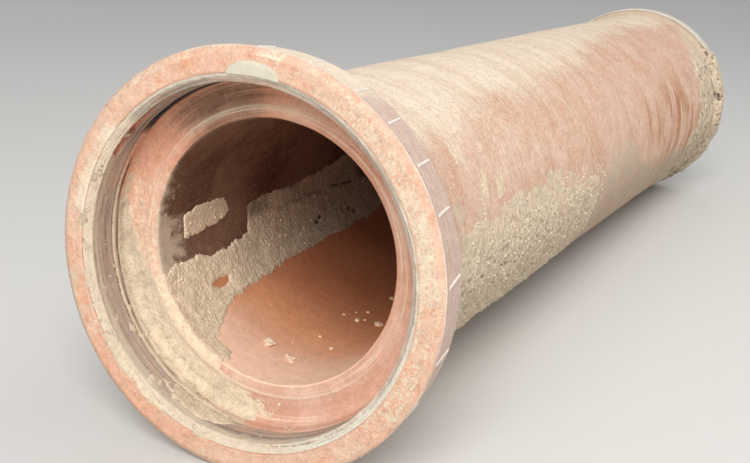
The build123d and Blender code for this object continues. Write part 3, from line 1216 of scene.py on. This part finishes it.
def bore_band_height(depth, turn, radius, points):
    """Mud along the bore: thick below a crack, thin with drips above it, and a patch."""
    mud = settings("mud_settings")
    rag = 0.005 * wobble(points, 0.03, 4) + 0.0025 * wobble(points, 0.008, 2, 3)
    bore = settings("pipe_sizes").bore
    band = depth_inside(BAND, depth, turn, bore) + rag
    patch = depth_inside(PATCH, depth, turn, bore) + 0.9 * rag
    bare = depth_inside(BARE, depth, turn, bore) + 0.5 * rag
    crack_at = -98.5 + 2.5 * wobble(points * [1, 0, 0], 0.08, 3)
    below = rise(turn, crack_at + 1.0, crack_at - 1.0) + (depth < 0.33)
    below = np.clip(below, 0, 1)
    drips = np.stack([points[..., 0] * 3.2, points[..., 1] * 0.5, points[..., 2] * 0.5], axis=-1)
    runs = 0.0007 * wobble(drips, 0.020, 3)
    lumps = 0.75 * pebbles(points, 0.0080) + 0.5 * pebbles(points, 0.0052, 3.0) - 0.5
    lumps = mud.grain * (lumps + 0.8 * wobble(points, 0.028, 3, 6))
    thick = mud.band * (0.45 + 0.55 * np.clip(0.5 + wobble(points, 0.06, 3, 5), 0, 1))
    body = below * (thick + lumps) + (1 - below) * (0.0012 + runs)
    crack = near(turn - crack_at, 0.6, 0.45) * rise(depth, 0.34, 0.37)
    gaps = rise(wobble(points, 0.05, 2, 4), -0.1, 0.25)
    body = body - (0.0008 + 0.0024 * within(depth, 0.60, 0.80, 0.05)) * crack * gaps
    body = body - 0.0025 * hollows(HOLES, depth, turn)
    thin = within(depth, 0.09, 0.15, 0.02) * rise(turn, -136, -146)
    cover = rise(band - 0.004 * thin, -0.002, 0.007) * rise(bare, 0.003, -0.004)
    lift = cover * body - 0.0025 * (1 - cover)
    slab = rise(patch, -0.001, 0.003)
    return np.maximum(lift, slab * (0.0020 + 0.25 * lumps) - 0.0025 * (1 - slab))


def socket_mud_height(depth, turn, radius, points):
    """Mud on the socket's shoulder, spilt over the lining and smeared on the lip."""
    around = (-turn) % 360
    loose = around + 16 * wobble(points, 0.035, 4, 3)
    left = rise(loose, 58, 84) * rise(loose, 190, 160)
    edge = mud_edge(around, points)
    flat = rise(depth, 0.062, 0.078)
    corner = near(radius, 0.240, 0.007) * rise(around, 105, 140)
    rag = wobble(points, 0.022, 4)
    cover = left * (flat * 1.3 + 0.28) * rise(radius, edge, edge + 0.009) + 0.3 * rag - 0.2
    spill = spot(depth, turn, 0.045, -160, 0.026, 15) + 0.35 * rag
    lip = (depth < 0.02) * spot(radius, turn, 0.2575, -125, 0.0070, 46) + 0.85 * rag - 0.10
    body_share = np.where(depth < 0.02, 0.5, 1.0)
    spill = np.maximum(spill, lip)
    body = 0.0007 + 0.0004 * wobble(points, 0.012, 3, 2) + 0.0030 * corner * left
    amount = rise(np.maximum(cover * (depth > 0.02), spill - 0.25), 0.05, 0.35)
    grains = 0.0006 * pebbles(points, 0.0055, 5.0) * (depth > 0.02)
    body = body * body_share + 0.0016 * rise(spill, 0.4, 0.9) * (depth > 0.02)
    return amount * (body + grains) - 0.002 * (1 - amount)


def ring_crust_height(depth, turn, radius, points):
    """Thick crust on the ring's right side and on the barrel before it."""
    side = rise(turn, 34, 66) * rise(turn, 172, 158)
    inland = rise(depth, 1.80, 1.96)
    low = rise(turn, 85, 110)
    rag = wobble(points, 0.035, 4)
    cover = side * (0.25 + 0.75 * inland + 0.5 * low * rise(depth, 1.76, 1.86)) + 0.5 * rag - 0.45
    amount = rise(cover, -0.05, 0.45)
    body = 0.0024 + 0.0036 * np.clip(wobble(points, 0.035, 3, 6), -0.6, 1)
    lumps = 0.0016 * pebbles(points, 0.015, 2.0) + 0.0014 * wobble(points, 0.02, 3, 7)
    split = ring_splits(depth, turn, points)
    return amount * (body + lumps - 0.005 * split) - 0.0025 * (1 - amount)


def plain_masks(depth, turn, radius, points):
    """Masks of plain mud: nothing warm, shaded, dripping or light."""
    return {name: np.zeros_like(depth) for name in ("warm", "shade", "drips", "light")}


def crust_masks(depth, turn, radius, points):
    masks = plain_masks(depth, turn, radius, points)
    patches = rise(wobble(points, 0.035, 3, 1), 0.0, 0.5)
    masks["shade"] = 0.05 + 0.12 * patches + 0.12 * rise(turn, 86, 114)
    above = rise(turn, 82, 73) * rise(depth, 0.50, 0.36)
    masks["light"] = 0.22 * rise(depth, 1.2, 1.0) * rise(turn, 112, 90) + 0.45 * above
    return masks


def cake_masks(depth, turn, radius, points):
    masks = crust_masks(depth, turn, radius, points)
    low = rise(turn, 84, 116) * rise(wobble(points, 0.028, 3, 5), -0.2, 0.4)
    shade = masks["shade"] + 0.30 * low + rise(ring_splits(depth, turn, points), 0.2, 0.6)
    masks["shade"] = np.clip(shade, 0, 1)
    return masks


def slump_masks(depth, turn, radius, points):
    masks = plain_masks(depth, turn, radius, points)
    left = (-turn) % 360
    patches = rise(wobble(points, 0.03, 3, 1), 0.0, 0.5)
    masks["shade"] = 0.07 + 0.15 * patches + 0.18 * rise(left, 114, 84)
    masks["light"] = 0.30 * rise(left, 112, 140)
    return masks


def band_masks(depth, turn, radius, points):
    warm = 0.35 * rise(depth, 0.11, 0.085) + 0.2 * rise(wobble(points, 0.05, 3, 11), 0.1, 0.6)
    shade = 0.22 * rise(depth, 0.18, 0.6) + rise(hollows(HOLES, depth, turn), 0.3, 0.8)
    drips = rise(turn, -101, -95) * (depth > 0.32)
    light = 0.42 + 0.36 * rise(depth, 0.34, 0.12)
    return {
        "warm": np.clip(warm, 0, 1),
        "shade": np.clip(shade, 0, 1),
        "drips": drips * 1.0,
        "light": light * (1 - np.clip(shade, 0, 1)),
    }


def graded(first, last, fine, coarse):
    """Depths that stand fine apart at the start and coarse apart at the end."""
    steps, at = [first], first
    while at < last:
        share = rise((at - first) / (last - first), 0.35, 0.75)
        at += fine + (coarse - fine) * float(share)
        steps.append(min(at, last))
    return np.array(steps)


class PIPE_OT_body(bpy.types.Operator):
    """Build the fired clay body"""

    bl_idname = "pipe.body"
    bl_label = "Clay Body"

    def execute(self, context):
        clay = material_named("fired_clay_weathered")
        piece = turned_piece("clay_body", body_corners(), body_shape, body_paint, clay)
        deliver(piece, "fired_clay", "pipe_body")
        return {"FINISHED"}


class PIPE_OT_lining(bpy.types.Operator):
    """Build the cast lining of the bell"""

    bl_idname = "pipe.lining"
    bl_label = "Bell Lining"

    def execute(self, context):
        joint = material_named("cast_joint_weathered")
        piece = turned_piece("cast_lining", lining_corners(), lining_shape, lining_paint, joint)
        deliver(piece, "cast_joint", "bell_lining")
        return {"FINISHED"}


class PIPE_OT_ring(bpy.types.Operator):
    """Build the cast ring on the spigot"""

    bl_idname = "pipe.ring"
    bl_label = "Spigot Ring"

    def execute(self, context):
        joint = material_named("cast_joint_weathered")
        piece = turned_piece("cast_ring", ring_corners(), ring_shape, ring_paint, joint)
        deliver(piece, "cast_joint", "spigot_ring")
        return {"FINISHED"}


def crust_path():
    """Along the barrel's outside, up the end of its taper."""
    depth = np.linspace(0.10, 1.06, 460)
    return np.stack([barrel_radius() + 0.036 * rise(depth, 0.200, 0.100), depth], axis=1)


def band_path():
    """Over the shoulder's edge and along the whole bore, in ever longer steps."""
    pipe = settings("pipe_sizes")
    start = [(0.203, 0.0818), (0.200, 0.0820), (0.1975, 0.0826), (0.1940, 0.0845)]
    rows = graded(0.0865, pipe.length - 0.004, 0.0021, 0.014)
    return np.array(start + [(pipe.bore, row) for row in rows])


def slump_path():
    """From the face over the lining to the shoulder."""
    pipe, step = settings("pipe_sizes"), 0.002
    back = pipe.lining - SINK
    return traced(
        [
            (0.2720, 0.0, 0, step),
            (pipe.mouth, 0.0, 0.001, step),
            (pipe.lining, 0.0075, 0.002, step),
            (pipe.lining, pipe.lining_depth, 0.001, step),
            (back, POCKET_DEPTH + 0.0005, 0.001, step),
            (back, pipe.shoulder, 0.012, step),
            (0.202, pipe.shoulder, 0, step),
        ]
    )


def cake_path():
    """Along the barrel, over the ring's bead and outside, and down its tip."""
    ring, end, step = settings("pipe_sizes").ring, settings("pipe_sizes").length, 0.0025
    barrel = barrel_radius()
    return traced(
        [
            (barrel, 1.74, 0, 0.0032),
            (barrel, end - 0.066, 0.002, step),
            (barrel + BEAD_HEIGHT, end - 0.064, 0.002, step),
            (ring, end - 0.050, 0.004, step),
            (ring, end - RING_FROM, 0.004, step),
            (barrel + TIP_HEIGHT, end - RING_TIP, 0.001, step),
            (barrel - 0.002, end - 0.0115, 0, step),
        ]
    )


class PIPE_OT_mud(bpy.types.Operator):
    """Build the dried mud in the bore, in the socket and on the outside"""

    bl_idname = "pipe.mud"
    bl_label = "Dried Mud"

    def execute(self, context):
        mud = material_named("dried_mud")
        coats = (
            ("mud_crust", crust_path(), False, 46, 172, 232, outer_crust_height, crust_masks),
            ("mud_band", band_path(), True, -74, -162, 132, bore_band_height, band_masks),
            ("mud_slump", slump_path(), True, -50, -196, 330, socket_mud_height, slump_masks),
            ("mud_cake", cake_path(), False, 30, 176, 250, ring_crust_height, cake_masks),
        )
        for wish in coats:
            deliver(coat(*wish, mud), "fired_clay")
        return {"FINISHED"}


def splash_height(depth, turn, radius, points):
    """Half round splash with a ragged edge."""
    across = (turn - 2.8) / 8.6
    up = (radius - 0.2595) / (0.0215 * np.sqrt(np.clip(1 - across**2, 0.0, 1)) + 1e-4)
    edge = (1 - up) * (np.abs(across) < 1) + 0.14 * wobble(points, 0.018, 3)
    cover = rise(edge, 0.0, 0.35)
    return cover * (0.0022 + 0.0005 * wobble(points, 0.010, 3)) - 0.002 * (1 - cover)


class PIPE_OT_splash(bpy.types.Operator):
    """Build the hard plaster splash on the bell's face"""

    bl_idname = "pipe.splash"
    bl_label = "Plaster Splash"

    def execute(self, context):
        plaster = material_named("old_plaster")
        path = np.stack([np.linspace(0.2590, 0.2845, 26), np.zeros(26)], axis=1)
        piece = coat("plaster_splash", path, False, -9, 16, 90, splash_height, plain_masks, plaster)
        deliver(piece, "fired_clay")
        return {"FINISHED"}


def baked(piece, name):
    """Plain mesh object of what a piece's modifiers make, in place of the piece."""
    graph = bpy.context.evaluated_depsgraph_get()
    mesh = bpy.data.meshes.new_from_object(piece.evaluated_get(graph))
    bpy.data.objects.remove(piece)
    mesh.name = name
    return linked(name, mesh)


def new_tree(name, inputs):
    """(nodes, input sockets, output sockets) of a new Geometry Nodes tree."""
    shape = ("Geometry", GEOMETRY)
    given = [shape, *inputs, ("Material", MATERIAL)]
    return new_group(name, given, [shape], "GeometryNodeTree")


def finish_tree(nodes, geometry, given, out):
    """Makes the instances real, paints them and puts them out."""
    real = nodes.add("GeometryNodeRealizeInstances", Geometry=geometry)
    made = real.outputs["Geometry"]
    paint = nodes.add("GeometryNodeSetMaterial", Geometry=made, Material=given["Material"])
    nodes.set(out["Geometry"], paint.outputs["Geometry"])
    return nodes.tree


def grown(piece, tree, **values):
    """Gives a piece a Geometry Nodes modifier with its inputs set."""
    modifier = piece.modifiers.new(tree.name, "NODES")
    modifier.node_group = tree
    for item in tree.interface.items_tree:
        key = item.name.replace(" ", "_")
        if item.in_out == "INPUT" and key in values:
            modifier[item.identifier] = values[key]


def rib_tree():
    """Ribs: each edge of the mesh becomes a thin rounded bar."""
    nodes, given, out = new_tree("Collar Ribs", [("Thickness", FLOAT), ("Sides", WHOLE)])
    half = nodes.math("DIVIDE", given["Thickness"], 2.0)
    line = nodes.add("GeometryNodeMeshToCurve", Mesh=given["Geometry"])
    circle = nodes.add("GeometryNodeCurvePrimitiveCircle", Radius=half, Resolution=given["Sides"])
    bar = nodes.add(
        "GeometryNodeCurveToMesh",
        Curve=line.outputs["Curve"],
        Profile_Curve=circle.outputs["Curve"],
        Fill_Caps=True,
    )
    return finish_tree(nodes, bar.outputs["Mesh"], given, out)


RIB_TURNS = [
    31, 42.5, 55, 68, 86, 106.5, 124, 141, 156, 172, -172, -156, -139, -122, -106, -88,
    -72, -57, -43, -28, -13, 2, 17,
]


class PIPE_OT_ribs(bpy.types.Operator):
    """Build the mould ribs across the collar"""

    bl_idname = "pipe.ribs"
    bl_label = "Collar Ribs"

    def execute(self, context):
        ribs = settings("rib_settings")
        start, length, parts, sunk = 0.0190, 0.0440, 4, 0.0002
        slope = (COLLAR_START[0] - COLLAR_END[0]) / (COLLAR_END[1] - COLLAR_START[1])
        verts, edges = [], []
        for degrees in RIB_TURNS:
            lean = -0.9 + math.sin(degrees * 3.7) * 0.5
            for k in range(parts + 1):
                share = k / parts
                at = start + share * length
                radius = COLLAR_START[0] - (at - COLLAR_START[1]) * slope - sunk
                turn = math.radians(degrees + lean * share)
                verts.append(place(np.array(at), np.array(turn), np.array(radius)).tolist())
                if k:
                    edges.append((len(verts) - 2, len(verts) - 1))
        mesh = bpy.data.meshes.new("rib_lines")
        mesh.from_pydata(verts, edges, [])
        lines = linked("rib_lines", mesh)
        clay = material_named("rib_clay")
        grown(lines, rib_tree(), Thickness=ribs.thickness, Sides=ribs.sides, Material=clay)
        deliver(baked(lines, "collar_ribs"), "fired_clay")
        return {"FINISHED"}


def crumb_tree():
    """Crumbs: rough little lumps scattered over the surface."""
    sizes = [("Smallest", FLOAT), ("Largest", FLOAT), ("Density", FLOAT)]
    nodes, given, out = new_tree("Crumbs", [*sizes, ("Detail", WHOLE), ("Seed", WHOLE)])
    scatter = nodes.add(
        "GeometryNodeDistributePointsOnFaces",
        Mesh=given["Geometry"],
        Density=given["Density"],
        Seed=given["Seed"],
    )
    lump = nodes.add("GeometryNodeMeshIcoSphere", Radius=1.0, Subdivisions=given["Detail"])
    rough = nodes.add("ShaderNodeTexNoise", Scale=0.9).outputs["Color"]
    reach, middle = (1.5, 1.5, 1.3), (-0.75, -0.75, -0.65)
    push = nodes.math("MULTIPLY_ADD", rough, reach, middle, kind="ShaderNodeVectorMath")
    crumb = nodes.add("GeometryNodeSetPosition", Geometry=lump.outputs["Mesh"], Offset=push)
    turn = nodes.add("FunctionNodeRandomValue", {"data_type": "FLOAT_VECTOR"})
    turn.inputs[1].default_value = (6.28, 6.28, 6.28)
    scale = nodes.add("FunctionNodeRandomValue", Seed=given["Seed"])
    low, high = [s for s in scale.inputs if s.type == "VALUE"][:2]
    nodes.set(low, given["Smallest"])
    nodes.set(high, given["Largest"])
    spread = nodes.add(
        "GeometryNodeInstanceOnPoints",
        Points=scatter.outputs["Points"],
        Instance=crumb.outputs["Geometry"],
        Rotation=turn.outputs[0],
        Scale=next(s for s in scale.outputs if s.type == "VALUE"),
    )
    return finish_tree(nodes, spread.outputs["Instances"], given, out)


class PIPE_OT_crumbs(bpy.types.Operator):
    """Scatter crumbs over the mud and the floor of the bore"""

    bl_idname = "pipe.crumbs"
    bl_label = "Crumbs"

    def execute(self, context):
        wish = settings("crumb_settings")
        tree = crumb_tree()
        mud = material_named("dried_mud")
        light = material_named("crumb_clay")
        for source, name, density, clay in (
            ("mud_crust", "crust_crumbs", wish.density * 1.5, light),
            ("mud_band", "band_crumbs", wish.density * 0.5, mud),
            ("mud_cake", "cake_crumbs", wish.density, mud),
        ):
            copy = linked(name, bpy.data.objects[source].data.copy())
            grown(
                copy,
                tree,
                Smallest=wish.smallest * 0.5,
                Largest=wish.largest * 0.5,
                Density=density,
                Detail=1,
                Seed=wish.seed,
                Material=clay,
            )
            deliver(baked(copy, name), "fired_clay")
        return {"FINISHED"}


CRUMB_SPOTS = [
    (0.399, 172.0, 0.0075), (0.404, -175.2, 0.0045), (0.408, -167.1, 0.0028),
    (0.452, -174.2, 0.0030), (0.203, -158.6, 0.0070), (0.196, -160.4, 0.0062),
    (0.207, -161.0, 0.0040), (0.181, -174.7, 0.0062), (0.186, -173.2, 0.0038),
    (0.190, -171.5, 0.0040), (0.258, 176.5, 0.0032), (0.296, -171.7, 0.0026),
    (0.543, -175.0, 0.0042), (0.807, -115.5, 0.0050), (0.415, -178.0, 0.0024),
    (0.435, -170.0, 0.0020), (0.176, -176.0, 0.0030), (0.239, -166.0, 0.0018),
]


class PIPE_OT_clods(bpy.types.Operator):
    """Set the larger crumbs that lie loose in the bore"""

    bl_idname = "pipe.clods"
    bl_label = "Loose Clods"

    def execute(self, context):
        pipe = settings("pipe_sizes")
        work = bmesh.new()
        for number, (depth, degrees, radius) in enumerate(CRUMB_SPOTS):
            at = place(
                np.array(depth),
                np.array(math.radians(degrees)),
                np.array(pipe.bore - radius * 0.40),
            )
            made = bmesh.ops.create_icosphere(work, subdivisions=2, radius=radius)
            for v in made["verts"]:
                seat = v.co / radius * 0.9 + Vector((number * 3.1, 0, 0))
                bend = noise.fractal(seat, 0.9, 2.1, 3)
                v.co *= 1 + 0.75 * bend
                v.co.z *= 0.55
                v.co += Vector(at)
        mesh = bpy.data.meshes.new("loose_clods")
        work.to_mesh(mesh)
        work.free()
        mesh.materials.append(material_named("clod_clay"))
        deliver(linked("loose_clods", mesh), "fired_clay")
        return {"FINISHED"}


def area_lamp(name, power, width, location, target):
    """Round lamp at a place, aimed at another."""
    lamp = bpy.data.lights.new(name, "AREA")
    lamp.energy = power
    lamp.shape = "DISK"
    lamp.size = width
    holder = linked(name, lamp)
    holder.location = location
    aim = Vector(target) - Vector(location)
    holder.rotation_euler = aim.to_track_quat("-Z", "Y").to_euler()


class PIPE_OT_stage(bpy.types.Operator):
    """Build the pale floor, the lights and the camera"""

    bl_idname = "pipe.stage"
    bl_label = "Stage"

    def execute(self, context):
        wish = settings("stage_settings")
        mesh = bpy.data.meshes.new("floor")
        signs = ((-1, -1), (1, -1), (1, 1), (-1, 1))
        corners = [(x * FLOOR_REACH, y * FLOOR_REACH, 0) for x, y in signs]
        mesh.from_pydata(corners, [], [(0, 1, 2, 3)])
        floor = linked("floor", mesh)
        material, shader, _ = new_material("pale_floor")
        finish_material(shader, wish.floor, 0.9, None, 0)
        mesh.materials.append(material)
        world = bpy.data.worlds.new("soft_sky")
        world.use_nodes = True
        sky = world.node_tree.nodes["Background"]
        sky.inputs["Strength"].default_value = wish.sky
        sky.inputs["Color"].default_value = linear((0.97, 0.98, 1.0))
        context.scene.world = world
        for name, width, location, target in LAMPS:
            area_lamp(name, getattr(wish, name), width, location, target)
        lens = bpy.data.cameras.new("camera")
        lens.sensor_width = 36
        lens.lens = CAMERA_LENS
        lens.clip_end = 200
        camera = linked("camera", lens)
        camera.location = CAMERA_AT
        camera.rotation_euler = Euler(map(math.radians, CAMERA_TURN))
        context.scene.camera = camera
        context.scene.view_settings.view_transform = "Standard"
        return {"FINISHED"}


OPERATORS = (
    PIPE_OT_body,
    PIPE_OT_lining,
    PIPE_OT_ring,
    PIPE_OT_mud,
    PIPE_OT_splash,
    PIPE_OT_ribs,
    PIPE_OT_crumbs,
    PIPE_OT_clods,
    PIPE_OT_stage,
)


class PIPE_PT_panel(bpy.types.Panel):
    bl_idname = "PIPE_PT_panel"
    bl_label = "Drain Pipe"
    bl_space_type = "VIEW_3D"
    bl_region_type = "UI"
    bl_category = "Drain Pipe"

    def draw(self, context):
        for group, kind in GROUPS.items():
            box = self.layout.box()
            for name in kind.__annotations__:
                box.prop(getattr(context.scene, group), name)
        for operator in OPERATORS:
            self.layout.operator(operator.bl_idname)


def register():
    for kind in (*GROUPS.values(), *OPERATORS, PIPE_PT_panel):
        bpy.utils.register_class(kind)
    for group, kind in GROUPS.items():
        setattr(bpy.types.Scene, group, PointerProperty(type=kind))


def unregister():
    for group in GROUPS:
        delattr(bpy.types.Scene, group)
    for kind in (PIPE_PT_panel, *reversed(OPERATORS), *reversed(GROUPS.values())):
        bpy.utils.unregister_class(kind)


def main():
    register()
    for operator in OPERATORS:
        family, name = operator.bl_idname.split(".")
        getattr(getattr(bpy.ops, family), name)()


if __name__ == "__main__":
    main()
